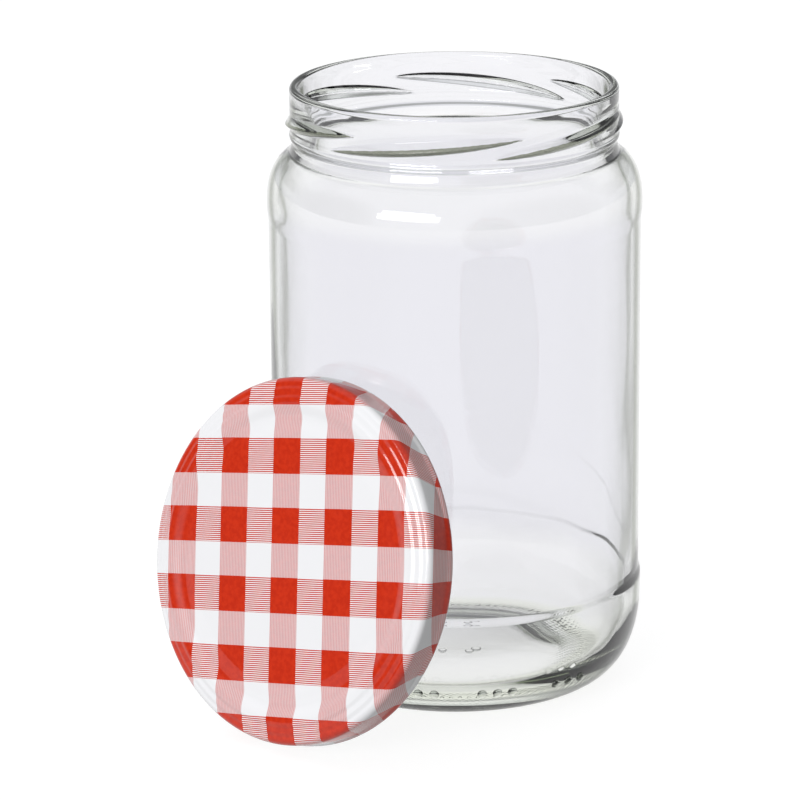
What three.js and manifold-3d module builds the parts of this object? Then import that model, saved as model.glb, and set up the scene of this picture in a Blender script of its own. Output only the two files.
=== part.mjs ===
// Canning jar: an empty round glass jar with a six-start screw mouth,
// and its gingham screw lid leaning upright against the front of it.
// Millimetres, +Z up. The jar stands on z = 0 and the lid leans on its -Y side.
// The origin is the middle of the whole object's footprint box, at table height.

import * as THREE from 'three';
import { mergeVertices } from 'three/addons/utils/BufferGeometryUtils.js';
import Module from 'manifold-3d';

const wasm = await Module();
wasm.setup();

// Driving dimensions of the jar's outside
const JAR_HEIGHT = 147.1;
const PANEL_RADIUS = 44.85;      // label panel between the two ledges
const SHOULDER_RADIUS = 45.2;
const HEEL_RADIUS = 45.35;
const LOWER_LEDGE_Z = 26.4;
const UPPER_LEDGE_Z = 116.1;
const LEDGE_HEIGHT = 1.0;
const HEEL_TOP_Z = 22.2;         // where the heel starts to curve in
const HEEL_POWER = 2.24;         // superellipse power of the heel
const BEARING_OUTER = 31.8;      // flat ring that the jar stands on
const BEARING_INNER = 28.6;
const PUSH_UP = 3.2;             // hollow under the base
const SHOULDER_Z = 120.8;        // where the shoulder starts to curve in
const SHOULDER_TOP_Z = 129.6;
const SHOULDER_POWER = 2.4;

// Mouth
const NECK_RADIUS = 39.4;
const GROOVE_RADIUS = 38.2;
const GROOVE_Z = 130.4;
const BEAD_RADIUS = 39.75;
const BEAD_Z = 133.6;
const LIP_THICKNESS = 2.3;
const LIP_ROUND = 1.1;
const NECK_INNER_RADIUS = 36.2;  // narrowest, at the groove

// Inside
const WALL = 2.3;
const HEEL_INNER_TOP_Z = 21;
const SHOULDER_INNER_Z = 118.5;
const SHOULDER_INNER_TOP_Z = 127.2;
const FLOOR_Z = 6.2;             // at the middle, over the push-up
const FLOOR_EDGE_Z = 4.6;
const FLOOR_EDGE_RADIUS = 29;

// Six thread starts round the mouth
const THREADS = 6;
const THREAD_START = -5;         // degrees from -Y towards +X
const THREAD_SPAN = 69;          // degrees
const THREAD_LOW_Z = 136.8;
const THREAD_HIGH_Z = 141.4;
const THREAD_DEPTH = 1.45;
const THREAD_HALF_HEIGHT = 1.15;

// Raised dots on the heel: degrees from -Y towards +X, in groups
const DOT_GROUPS = [[28.5, 33.7], [49, 54, 59], [74.7, 79.7, 84.9]];
const DOT_RADIUS = 1.15;
const DOT_RISE = 0.8;
const DOT_Z = 7.7;

// Lid, measured up from the plane of its open rim
const LID_RADIUS = 43.45;
const LID_SKIRT_RADIUS = 43.15;
const LID_PANEL_HEIGHT = 8.65;
const LID_THICKNESS = 0.3;
const LID_EDGE_ROUND = 1.6;
const CURL_RADIUS = 1.05;
const CURL_TOP = 2.5;
const CHANNEL_RADIUS = 33.6;     // shallow dip round the flat panel
const CHANNEL_DEPTH = 0.35;
const RING_RADIUS = 37.4;        // raised ring outside the dip
const RING_RISE = 0.6;
const CREASE_RADIUS = 40.1;      // crease between ring and rounded edge
const CREASE_DEPTH = 0.15;
const LUG_REACH = 39.95;
const LUG_HALF_SPAN = 9;         // degrees
const LUG_HALF_HEIGHT = 0.85;

// Sealing ring inside the lid
const SEAL_INNER = 35.1;
const SEAL_OUTER = 40.4;
const SEAL_UNDERSIDE = 6.9;

// How the lid leans on the jar
const LID_LEAN = 14.5;           // degrees back from upright
const LID_OFFSET_X = 3.3;
const GAP = 0.3;

const ROUND_SEGMENTS = 60;

const radians = THREE.MathUtils.degToRad;
const point = (r, z) => new THREE.Vector2(r, z);

// Points of a superellipse quarter from its side (angle 0) to its top or bottom
function quarter(side, pole, power, steps) {
  const points = [];
  for (let i = 0; i <= steps; i++) {
    const angle = (Math.PI / 2) * (i / steps);
    const c = Math.cos(angle) ** (2 / power);
    const s = Math.sin(angle) ** (2 / power);
    points.push(point(pole.x + (side.x - pole.x) * c, side.y + (pole.y - side.y) * s));
  }
  return points;
}

// Points of a circular arc, angles in degrees, both ends included
function arc(centre, radius, from, to, steps) {
  const points = [];
  for (let i = 0; i <= steps; i++) {
    const angle = radians(from + (to - from) * (i / steps));
    points.push(point(centre.x + radius * Math.cos(angle), centre.y + radius * Math.sin(angle)));
  }
  return points;
}

// Turns a profile round the Z axis into a closed geometry
function turned(profile) {
  const geometry = new THREE.LatheGeometry(profile, ROUND_SEGMENTS);
  return geometry.rotateX(Math.PI / 2);
}

function solid(geometry) {
  const bare = geometry.index ? geometry.clone() : geometry;
  bare.deleteAttribute('normal');
  bare.deleteAttribute('uv');
  const merged = mergeVertices(bare, 1e-4);
  const mesh = new wasm.Mesh({
    numProp: 3,
    vertProperties: new Float32Array(merged.attributes.position.array),
    triVerts: new Uint32Array(merged.index.array),
  });
  return new wasm.Manifold(mesh);
}

function geometryOf(manifold) {
  const mesh = manifold.getMesh();
  const geometry = new THREE.BufferGeometry();
  geometry.setAttribute('position', new THREE.BufferAttribute(mesh.vertProperties, 3));
  geometry.setIndex(new THREE.BufferAttribute(mesh.triVerts, 1));
  geometry.computeVertexNormals();
  return geometry;
}

function joined(main, additions) {
  const all = additions.reduce((sum, extra) => sum.add(solid(extra)), solid(main));
  return geometryOf(all);
}

// The underside's push-up, out to the inner edge of the bearing ring
function undersideProfile() {
  return [0, 0.4, 0.7, 0.88, 1].map((share) =>
    point(share * BEARING_INNER, PUSH_UP * (1 - share ** 4)));
}

function outerProfile() {
  const heel = quarter(point(HEEL_RADIUS, HEEL_TOP_Z), point(BEARING_OUTER, 0), HEEL_POWER, 8).reverse();
  const shoulder = quarter(
    point(SHOULDER_RADIUS, SHOULDER_Z), point(GROOVE_RADIUS, SHOULDER_TOP_Z), SHOULDER_POWER, 6);
  const half = LEDGE_HEIGHT / 2;
  return [
    ...heel,
    point(HEEL_RADIUS, LOWER_LEDGE_Z - half),
    point(PANEL_RADIUS, LOWER_LEDGE_Z + half),
    point(PANEL_RADIUS, UPPER_LEDGE_Z - half),
    point(SHOULDER_RADIUS, UPPER_LEDGE_Z + half),
    ...shoulder,
    point(GROOVE_RADIUS, GROOVE_Z),
    point((GROOVE_RADIUS + BEAD_RADIUS) / 2, (GROOVE_Z + BEAD_Z) / 2 - half),
    point(BEAD_RADIUS, BEAD_Z - half),
    point(BEAD_RADIUS, BEAD_Z + half),
    point(NECK_RADIUS, BEAD_Z + 2 * half),
  ];
}

function lipProfile() {
  const z = JAR_HEIGHT - LIP_ROUND;
  const outer = arc(point(NECK_RADIUS - LIP_ROUND, z), LIP_ROUND, 0, 90, 3);
  const inner = arc(point(NECK_RADIUS - LIP_THICKNESS + LIP_ROUND, z), LIP_ROUND, 90, 180, 3);
  return [...outer, ...inner];
}

function innerProfile() {
  const bodyRadius = PANEL_RADIUS - WALL;
  const shoulder = quarter(
    point(bodyRadius, SHOULDER_INNER_Z), point(NECK_INNER_RADIUS, SHOULDER_INNER_TOP_Z),
    SHOULDER_POWER, 5).reverse();
  const heel = quarter(
    point(bodyRadius, HEEL_INNER_TOP_Z), point(FLOOR_EDGE_RADIUS, FLOOR_EDGE_Z), HEEL_POWER, 6);
  const floor = [0.7, 0.4, 0].map((share) =>
    point(share * FLOOR_EDGE_RADIUS, FLOOR_EDGE_Z + (FLOOR_Z - FLOOR_EDGE_Z) * (1 - share ** 2)));
  return [point(NECK_INNER_RADIUS, BEAD_Z), ...shoulder, ...heel, ...floor];
}

// One thread: a bar bent round the mouth, rising as it goes, tapered at both ends
function threadGeometry(start) {
  const bar = new THREE.CylinderGeometry(1, 1, 1, 6, 14);
  const position = bar.attributes.position;
  for (let i = 0; i < position.count; i++) {
    const share = position.getY(i) + 0.5;
    const taper = 0.12 + 0.88 * Math.sin(Math.PI * share) ** 0.6;
    const angle = radians(start + THREAD_SPAN * share);
    const radius = NECK_RADIUS - 0.1 + THREAD_DEPTH * taper * position.getX(i);
    const z = THREAD_LOW_Z + (THREAD_HIGH_Z - THREAD_LOW_Z) * share
      + THREAD_HALF_HEIGHT * taper * position.getZ(i);
    position.setXYZ(i, radius * Math.sin(angle), -radius * Math.cos(angle), z);
  }
  return bar;
}

// Outer radius of the heel at a height
function heelRadius(z) {
  const rise = (HEEL_TOP_Z - z) / HEEL_TOP_Z;
  return BEARING_OUTER + (HEEL_RADIUS - BEARING_OUTER) * (1 - rise ** HEEL_POWER) ** (1 / HEEL_POWER);
}

// One raised dot, laid on the slope of the heel
function dotGeometry(degrees) {
  const step = 0.5;
  const slope = Math.atan2(heelRadius(DOT_Z + step) - heelRadius(DOT_Z - step), 2 * step);
  const dot = new THREE.SphereGeometry(1, 8, 6);
  dot.scale(DOT_RADIUS, DOT_RISE, DOT_RADIUS);
  dot.rotateX(slope);
  dot.translate(0, -heelRadius(DOT_Z), DOT_Z);
  return dot.rotateZ(radians(degrees));
}

function jarGeometry() {
  const profile = [...undersideProfile(), ...outerProfile(), ...lipProfile(), ...innerProfile()];
  const threads = Array.from({ length: THREADS }, (_, i) =>
    threadGeometry(THREAD_START + (360 / THREADS) * i));
  const dots = DOT_GROUPS.flat().map(dotGeometry);
  return joined(turned(profile), [...threads, ...dots]);
}

// The lid's relief from the middle out to the crease, as radius and height
function lidRelief() {
  const panel = LID_PANEL_HEIGHT;
  return [
    point(0, panel),
    point(CHANNEL_RADIUS - 4, panel),
    point(CHANNEL_RADIUS - 1.5, panel - CHANNEL_DEPTH * 0.8),
    point(CHANNEL_RADIUS, panel - CHANNEL_DEPTH),
    point((CHANNEL_RADIUS + RING_RADIUS) / 2, panel + (RING_RISE - CHANNEL_DEPTH) / 2),
    point(RING_RADIUS, panel + RING_RISE),
    point(RING_RADIUS + 1.4, panel + RING_RISE * 0.45),
    point(CREASE_RADIUS, panel - CREASE_DEPTH),
  ];
}

// Rounded edge and straight skirt, down to the curl
function skirtProfile() {
  const centre = point(LID_SKIRT_RADIUS - LID_EDGE_ROUND, LID_PANEL_HEIGHT - LID_EDGE_ROUND);
  return [...arc(centre, LID_EDGE_ROUND, 90, 0, 3), point(LID_SKIRT_RADIUS, CURL_TOP)];
}

function curlProfile() {
  return arc(point(LID_RADIUS - CURL_RADIUS, CURL_RADIUS), CURL_RADIUS, 0, -200, 6);
}

// The same sheet from inside, from the curl back to the middle
function lidInsideProfile() {
  const wall = LID_SKIRT_RADIUS - LID_THICKNESS;
  const under = LID_PANEL_HEIGHT - LID_THICKNESS;
  const round = LID_EDGE_ROUND - LID_THICKNESS;
  return [
    point(wall, CURL_TOP),
    point(wall, under - round),
    point(wall - round, under),
    ...lidRelief().reverse().map((p) => point(p.x, p.y - LID_THICKNESS)),
  ];
}

function lidProfile() {
  return [...lidRelief(), ...skirtProfile(), ...curlProfile(), ...lidInsideProfile()].reverse();
}

// One lug, pressed inwards from the curl: a ball stretched along the rim
function lugGeometry(degrees) {
  const lug = new THREE.SphereGeometry(1, 8, 4);
  const position = lug.attributes.position;
  const root = LID_RADIUS - CURL_RADIUS;
  for (let i = 0; i < position.count; i++) {
    const outwards = position.getX(i);
    const depth = outwards > 0 ? CURL_RADIUS / 2 : root - LUG_REACH;
    const angle = radians(degrees + LUG_HALF_SPAN * position.getY(i));
    const radius = root + depth * outwards;
    const z = CURL_RADIUS + LUG_HALF_HEIGHT * position.getZ(i);
    position.setXYZ(i, radius * Math.cos(angle), radius * Math.sin(angle), z);
  }
  return lug;
}

function lidGeometry() {
  const lugs = Array.from({ length: THREADS }, (_, i) => lugGeometry((360 / THREADS) * (i + 0.5)));
  return joined(turned(lidProfile()), lugs);
}

function sealGeometry() {
  const under = LID_PANEL_HEIGHT - LID_THICKNESS - GAP;
  const profile = [
    point(SEAL_INNER, under - 0.1),
    point(SEAL_INNER + 0.4, SEAL_UNDERSIDE + 0.2),
    point(RING_RADIUS, SEAL_UNDERSIDE),
    point(SEAL_OUTER - 0.4, SEAL_UNDERSIDE + 0.2),
    point(SEAL_OUTER, under - CREASE_DEPTH - 0.1),
    point(RING_RADIUS + 1.4, under + RING_RISE * 0.4),
    point(RING_RADIUS, under + RING_RISE * 0.9),
  ];
  return turned([...profile, profile[0].clone()]);
}

// Furthest reach of a turned profile along a direction in its own plane
function reach(profile, alongRadius, alongAxis) {
  return Math.max(...profile.map((p) => p.x * alongRadius + p.y * alongAxis));
}

const materials = {
  glass: new THREE.MeshStandardMaterial({
    color: 0xdfe5dd, roughness: 0.04, metalness: 0, transparent: true, opacity: 0.35 }),
  lacquer: new THREE.MeshStandardMaterial({ color: 0xd03a24, roughness: 0.25, metalness: 0.1 }),
  compound: new THREE.MeshStandardMaterial({ color: 0xe6e2d4, roughness: 0.6, metalness: 0 }),
};

function part(name, geometry, material) {
  const mesh = new THREE.Mesh(geometry, material);
  mesh.name = name;
  return mesh;
}

const jar = new THREE.Group();
jar.add(part('glass_jar', jarGeometry(), materials.glass));

const lid = new THREE.Group();
lid.add(part('lid', lidGeometry(), materials.lacquer));
lid.add(part('lid_seal', sealGeometry(), materials.compound));

// The lid's rim touches the table below and the jar's panel above
const lean = radians(LID_LEAN);
const rimHeight = reach(lidProfile(), Math.cos(lean), -Math.sin(lean));
const rimToJar = reach(lidProfile(), Math.sin(lean), -Math.cos(lean));
const contact = Math.sqrt(PANEL_RADIUS ** 2 - LID_OFFSET_X ** 2);
lid.rotation.x = Math.PI / 2 - lean;
lid.position.set(LID_OFFSET_X, -(contact + GAP + rimToJar), rimHeight);

// Footprint box of both, measured from the jar's axis, gives the origin
const lidFront = -lid.position.y + reach(lidProfile(), Math.sin(lean), Math.cos(lean));
const middleX = (LID_OFFSET_X + LID_RADIUS - HEEL_RADIUS) / 2;
const middleY = (HEEL_RADIUS - lidFront) / 2;

const canningJar = new THREE.Group();
canningJar.add(jar, lid);
canningJar.children.forEach((group) => {
  group.position.x -= middleX;
  group.position.y -= middleY;
});

export default canningJar;
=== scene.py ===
# Empty canning jar of clear pressed glass, with its gingham screw lid leaning on it.
# Driving dimensions are in millimetres; every mesh is made in metres, in the frame's own place.
import math

import bpy
from mathutils import Matrix, Quaternion, Vector


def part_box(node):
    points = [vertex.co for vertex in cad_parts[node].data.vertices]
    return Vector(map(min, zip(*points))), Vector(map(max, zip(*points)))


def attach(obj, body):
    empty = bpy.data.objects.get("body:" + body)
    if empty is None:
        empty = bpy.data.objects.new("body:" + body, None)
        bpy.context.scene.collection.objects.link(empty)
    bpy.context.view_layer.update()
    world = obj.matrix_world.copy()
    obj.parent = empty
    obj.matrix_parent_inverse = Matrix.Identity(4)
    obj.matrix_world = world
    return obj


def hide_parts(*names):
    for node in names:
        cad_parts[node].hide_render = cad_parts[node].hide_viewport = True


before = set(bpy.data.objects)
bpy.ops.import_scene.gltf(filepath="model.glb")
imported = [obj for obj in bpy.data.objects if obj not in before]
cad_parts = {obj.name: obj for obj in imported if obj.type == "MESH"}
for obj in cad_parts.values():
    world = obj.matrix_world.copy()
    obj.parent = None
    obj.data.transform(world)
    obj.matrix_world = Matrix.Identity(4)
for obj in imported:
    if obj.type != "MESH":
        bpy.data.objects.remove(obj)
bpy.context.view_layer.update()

MM = 0.001
MERGE_REACH = 0.002
TURN = 2 * math.pi
WHOLE_TURNS = 720.0  # degrees, added before a remainder is taken, so that it is never negative

# Places read from the frame
glass_low, glass_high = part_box("glass_jar")
lid_low, lid_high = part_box("lid")
JAR_X = (glass_low.x + glass_high.x) / 2
JAR_Y = (glass_low.y + glass_high.y) / 2
JAR_HEIGHT = (glass_high.z - glass_low.z) / MM

# Outside of the jar
PANEL_RADIUS = 44.85
SHOULDER_RADIUS = 45.2
HEEL_RADIUS = (glass_high.x - glass_low.x) / 2 / MM
LOWER_LEDGE_Z = 26.4
LOWER_LEDGE_HEIGHT = 2.2
UPPER_LEDGE_Z = 116.1
UPPER_LEDGE_HEIGHT = 4.0
HEEL_TOP_Z = 22.2
HEEL_POWER = 2.24
BEARING_OUTER = 31.8
BEARING_INNER = 28.6
PUSH_UP = 3.2
PUSH_UP_POWER = 4
SHOULDER_Z = 118.9
SHOULDER_PULL = (1.3, 10.5)  # lengths of the curve's handles, at the groove and at the side
GROOVE_RADIUS = 38.8
GROOVE_Z = 133.3
GROOVE_CONE = math.radians(19.0)
GROOVE_CONE_LENGTH = 2.1
BEAD_RADIUS = 39.55
BEAD_LOW_Z = 135.0
BEAD_HIGH_Z = 135.4
NECK_RADIUS = 39.4
NECK_LOW_Z = 136.0
LIP_THICKNESS = 2.3
LIP_ROUND = 1.1
JAR_COLUMNS = 276
JAR_SHARP = math.radians(32)

# Inside of the jar
WALL = 2.3
NECK_INNER_RADIUS = 36.2
NECK_INNER_Z = 136.0
NECK_FLARE = 0.02
NECK_FLARE_Z = 129.6
HEEL_INNER_TOP_Z = 21.0
SHOULDER_INNER_Z = 119.2
SHOULDER_INNER_PULL = (0.6, 8.8)
FLOOR_Z = 6.2
FLOOR_EDGE_Z = 4.6
FLOOR_EDGE_RADIUS = 29.0
WAVINESS = 0.9
WAVE_SCALE = 45.0
WAVE_STRETCH = 0.35
WAVE_SEED = 4.0

# Threads; angles in degrees from -Y towards +X
THREADS = 6
THREAD_START = -5.0
THREAD_SPAN = 69.0
THREAD_LOW_Z = 136.9
THREAD_HIGH_Z = 141.1
THREAD_DEPTH = 1.35
THREAD_BELOW = 1.15
THREAD_ABOVE = 2.2
THREAD_TAPER = 0.55
THREAD_TIP = 0.15
THREAD_CREST_ROUND = 0.35
THREAD_FOOT_ROUND = 0.12
FLANK_ABOVE = 0.7
FLANK_FADE = 4.0

# Raised dots, in rows of first angle, pitch and count
DOT_ROWS = [(28.5, 5.2, 2), (49.0, 5.0, 3), (74.7, 5.1, 3)]
DOT_RADIUS = 1.15
DOT_RISE = 0.8
DOT_Z = 7.7
BASE_DOT_ROWS = [(-1.5, 26.0, 1), (78.0, 26.0, 2)]
BASE_DOT_RING = 5.5
BASE_DOT_Z = 3.19

# Knurled ring that the jar stands on; a rib's size is half its width, length and height
KNURLS = 98
KNURL_RADIUS = 33.0
KNURL_SIZE = (0.62, 1.5, 0.5)
KNURL_Z = 0.35

# Lid, measured up from the plane of its open rim
LID_LEAN = math.radians(14.5)
LID_RADIUS = (lid_high.x - lid_low.x) / 2 / MM
LID_SKIRT_RADIUS = 43.15
LID_PANEL_HEIGHT = 8.65
LID_SHEET = 0.26
LID_EDGE_ROUND = 1.6
CURL_RADIUS = 1.05
CURL_TOP = 2.6
CURL_ROLL = 255
CHANNEL_RADIUS = 33.6
CHANNEL_WIDTH = 4.0
CHANNEL_DEPTH = 0.35
RING_RADIUS = 37.4
RING_RISE = 0.6
STEP_RADII = (38.6, 40.7)
STEP_WIDTH = 1.3
STEP_DROP = 0.37
LUG_DEPTH = 1.4
LUG_HALF_SPAN = 9.0
LUG_SQUARENESS = 4.0
LUG_TOP = 2.4 * CURL_RADIUS
LUG_ROOT = LID_RADIUS - 0.1
LID_COLUMNS = 360
LID_SHARP = math.radians(40)

# Sealing compound inside the lid
SEAL_INNER = 35.1
SEAL_OUTER = 40.4
SEAL_UNDERSIDE = 6.9
SEAL_ROUND = 0.75
SEAL_GAP = 0.05
SEAL_INNER_DROP = 0.15
SEAL_OUTER_DROP = 1.6 * STEP_DROP
SEAL_RISE = 0.9 * RING_RISE
SEAL_COLUMNS = 180
SEAL_SHARP = math.radians(50)

# Gingham print, measured on the flat blank that the lid is pressed from
CHECK = 8.18
CHECK_TURN = math.radians(10.294)
COLUMN_SHIFT = 37.8
ROW_SHIFT = 36.86
INK_SPREAD = 0.24
LINES_PER_CHECK = 17
BLANK_SPAN = 110.0

# Fine lines of the print: a line's share of its pitch, and the ink between lines and on them
ROW_LINES = (0.54, 0.0, 1.0)
COLUMN_LINES = (0.5, 0.36, 0.62)

# Lacquer and compound; a pair is the two tones that a surface drifts between
INK = ((0.45, 0.018, 0.003, 1.0), (0.52, 0.026, 0.005, 1.0))
WHITE = (0.72, 0.72, 0.735, 1.0)
LID_INSIDE = ((0.82, 0.81, 0.77, 1.0), (0.88, 0.87, 0.84, 1.0))
COMPOUND = ((0.80, 0.77, 0.68, 1.0), (0.86, 0.84, 0.76, 1.0))

# Glass: tints of the surface, some of them painted light and shade, and colour and density of what it is
# made of
PANEL_TINT = (0.905, 0.898, 0.938, 1.0)
# Painted light: a lighter tint on the heel and shoulder, so that the thick glass renders brighter
THICK_LIGHTENING = (0.99, 0.985, 1.0, 1.0)
FOOT_TINT = (0.80, 0.86, 0.52, 1.0)
# Painted shade: dark olive where the glass is seen edge on
EDGE_SHADE = (0.12, 0.13, 0.10, 1.0)
# Painted shade: near black on the threads' lower flanks
FLANK_SHADE = (0.08, 0.09, 0.045, 1.0)
GLASS_COLOUR = (0.62, 0.70, 0.50, 1.0)
GLASS_DENSITY = 28.0
GLASS_IOR = 1.52

# Heights between which the glass's masks fade in or out
FOOT_FADE = (0.5, 2.8)
STIPPLE_FADE = (0.8, 1.6)
SIDE_FADE = (5.0, 11.0)
HEEL_FADE = (18.0, LOWER_LEDGE_Z)
CROWN_RISE = (116.0, 122.0)
CROWN_FADE = (129.0, BEAD_LOW_Z)
LIP_FADE = (JAR_HEIGHT - 3.0, JAR_HEIGHT - 1.0)
LIP_SHARE = 0.45
STIPPLE_PITCH = 1.15
STIPPLE_INNER = 22.0

# Camera, fitted to the photo's 800 by 800 frame
PHOTO_WIDTH = 800
FOCAL_PX = 4007.1
SENSOR = 36.0
CAMERA_DISTANCE = 977.9
CAMERA_AZIMUTH = math.radians(41.74)
CAMERA_PITCH = math.radians(16.295)
CAMERA_ROLL = -0.0086
TARGET_RIGHT = -13.54
TARGET_Z = 68.39

# Floor, which glows less towards matt surfaces, so that the white print isn't burnt out
FLOOR_RADIUS = 8.0
FLOOR_DROP = 0.0003
FLOOR_SIDES = 96
FLOOR_GREY = (0.22, 0.22, 0.22, 1.0)
FLOOR_GLOW = 0.88
FLOOR_GLOW_ON_MATT = 0.16

# Studio: dark cards as azimuth, elevation, core, reach and depth, in degrees but for the last
WORLD_BRIGHT = (0.86, 0.87, 0.89, 1.0)
WORLD_DARK = (0.05, 0.055, 0.035, 1.0)
DARK_CARDS = [(-40.0, 8.0, 12.0, 40.0, 0.95), (95.0, 0.0, 20.0, 60.0, 0.7)]
FILL_CARD = (105.0, 5.0, 40.0, 85.0, 0.9)
BACK_CARD = (-138.0, 12.0, 50.0, 75.0, 0.55)
BACK_BAND_RISE = (0.10, 0.17)
BACK_BAND_FADE = (0.30, 0.42)

# Softboxes as azimuth and elevation, size in metres, power in watts, and roll
SOFTBOX_DISTANCE = 1.4
SOFTBOX_AIM_Z = 70.0
MAIN_SOFTBOX = (12.1, 22.0, (0.80, 0.30), 7.0, 0.0)
LID_STRIP = (-3.5, 24.0, (0.16, 0.86), 8.5, 20.0)


# Curves of the profiles, as points of radius and height

def shares(steps):
    return [i / steps for i in range(steps + 1)]


def quarter(side, pole, power, steps):
    """Points of a superellipse quarter from its side to its top or bottom."""
    points = []
    for i in range(steps + 1):
        angle = math.pi / 2 * i / steps
        c = math.cos(angle) ** (2 / power) if i < steps else 0.0
        s = math.sin(angle) ** (2 / power)
        points.append((pole[0] + (side[0] - pole[0]) * c, side[1] + (pole[1] - side[1]) * s))
    return points


def arc(centre, radius, start, end, steps):
    """Points of a circular arc between two angles in degrees."""
    points = []
    for t in shares(steps):
        angle = math.radians(start + (end - start) * t)
        points.append((centre[0] + radius * math.cos(angle), centre[1] + radius * math.sin(angle)))
    return points


def eased(start, end, steps):
    """Points of an S-curve whose radius eases from one value to the other."""
    points = []
    for t in shares(steps):
        share = t * t * (3 - 2 * t)
        points.append((start[0] + (end[0] - start[0]) * share, start[1] + (end[1] - start[1]) * t))
    return points


def swapped(points):
    return [(z, r) for r, z in points]


def relief(start, end, steps):
    """Points of an S-curve whose height eases from one value to the other."""
    return swapped(eased(start[::-1], end[::-1], steps))


def bezier(a, b, c, d, steps):
    """Points of a cubic curve from a to d, drawn towards b and c."""
    points = []
    for t in shares(steps):
        pulls = ((1 - t) ** 3, 3 * t * (1 - t) ** 2, 3 * t * t * (1 - t), t ** 3)
        points.append(tuple(sum(s * p[k] for s, p in zip(pulls, (a, b, c, d))) for k in (0, 1)))
    return points


def straight(start, end, steps):
    return [(start[0] + (end[0] - start[0]) * t, start[1] + (end[1] - start[1]) * t) for t in shares(steps)]


def chain(*runs):
    """Joins runs of points, leaving out a point that repeats the one before it."""
    points = []
    for run in runs:
        for p in run:
            if not points or math.dist(points[-1], p) > 1e-4:
                points.append(p)
    return points


def jar_outside():
    """The jar's outer skin, from the middle of its underside up to the top of its lip."""
    underside = [(BEARING_INNER * t, PUSH_UP * (1 - t ** PUSH_UP_POWER)) for t in shares(14)]
    heel = quarter((HEEL_RADIUS, HEEL_TOP_Z), (BEARING_OUTER, 0.0), HEEL_POWER, 30)
    lower = (LOWER_LEDGE_Z - LOWER_LEDGE_HEIGHT / 2, LOWER_LEDGE_Z + LOWER_LEDGE_HEIGHT / 2)
    upper = (UPPER_LEDGE_Z - UPPER_LEDGE_HEIGHT / 2, UPPER_LEDGE_Z + UPPER_LEDGE_HEIGHT / 2)
    slope = (math.sin(GROOVE_CONE), math.cos(GROOVE_CONE))
    groove = (GROOVE_RADIUS, GROOVE_Z)
    foot = (GROOVE_RADIUS + GROOVE_CONE_LENGTH * slope[0], GROOVE_Z - GROOVE_CONE_LENGTH * slope[1])
    first, last = SHOULDER_PULL
    from_foot = (foot[0] + first * slope[0], foot[1] - first * slope[1])
    from_side = (SHOULDER_RADIUS, SHOULDER_Z + last)
    shoulder = bezier(foot, from_foot, from_side, (SHOULDER_RADIUS, SHOULDER_Z), 40)
    return chain(
        underside,
        straight((BEARING_INNER, 0.0), (BEARING_OUTER, 0.0), 3),
        heel[::-1],
        eased((HEEL_RADIUS, lower[0]), (PANEL_RADIUS, lower[1]), 8),
        straight((PANEL_RADIUS, lower[1]), (PANEL_RADIUS, upper[0]), 10),
        eased((PANEL_RADIUS, upper[0]), (SHOULDER_RADIUS, upper[1]), 10),
        shoulder[::-1],
        straight(foot, groove, 4),
        eased(groove, (BEAD_RADIUS, BEAD_LOW_Z), 10),
        eased((BEAD_RADIUS, BEAD_HIGH_Z), (NECK_RADIUS, NECK_LOW_Z), 4),
        straight((NECK_RADIUS, NECK_LOW_Z), (NECK_RADIUS, JAR_HEIGHT - LIP_ROUND), 76),
        arc((NECK_RADIUS - LIP_ROUND, JAR_HEIGHT - LIP_ROUND), LIP_ROUND, 0, 90, 8),
    )


def jar_inside():
    """The jar's inner skin, from the top of its lip down to the middle of its floor."""
    mouth = NECK_RADIUS - LIP_THICKNESS
    body = PANEL_RADIUS - WALL
    depth = NECK_INNER_Z - NECK_FLARE_Z
    drops = [depth * t for t in shares(12)]
    flare = [(NECK_INNER_RADIUS + NECK_FLARE * drop ** 2, NECK_INNER_Z - drop) for drop in drops]
    slope = math.atan(2 * NECK_FLARE * depth)
    first, last = SHOULDER_INNER_PULL
    start = flare[-1]
    from_start = (start[0] + first * math.sin(slope), start[1] - first * math.cos(slope))
    shoulder = bezier(start, from_start, (body, SHOULDER_INNER_Z + last), (body, SHOULDER_INNER_Z), 24)
    crown = FLOOR_Z - FLOOR_EDGE_Z
    floor = [(FLOOR_EDGE_RADIUS * (1 - t), FLOOR_EDGE_Z + crown * (1 - (1 - t) ** 2)) for t in shares(9)]
    return chain(
        arc((mouth + LIP_ROUND, JAR_HEIGHT - LIP_ROUND), LIP_ROUND, 90, 180, 8),
        eased((mouth, JAR_HEIGHT - LIP_ROUND), (NECK_INNER_RADIUS, NECK_INNER_Z), 8),
        flare,
        shoulder,
        straight((body, SHOULDER_INNER_Z), (body, HEEL_INNER_TOP_Z), 26),
        quarter((body, HEEL_INNER_TOP_Z), (FLOOR_EDGE_RADIUS, FLOOR_EDGE_Z), HEEL_POWER, 24),
        floor,
    )


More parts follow.
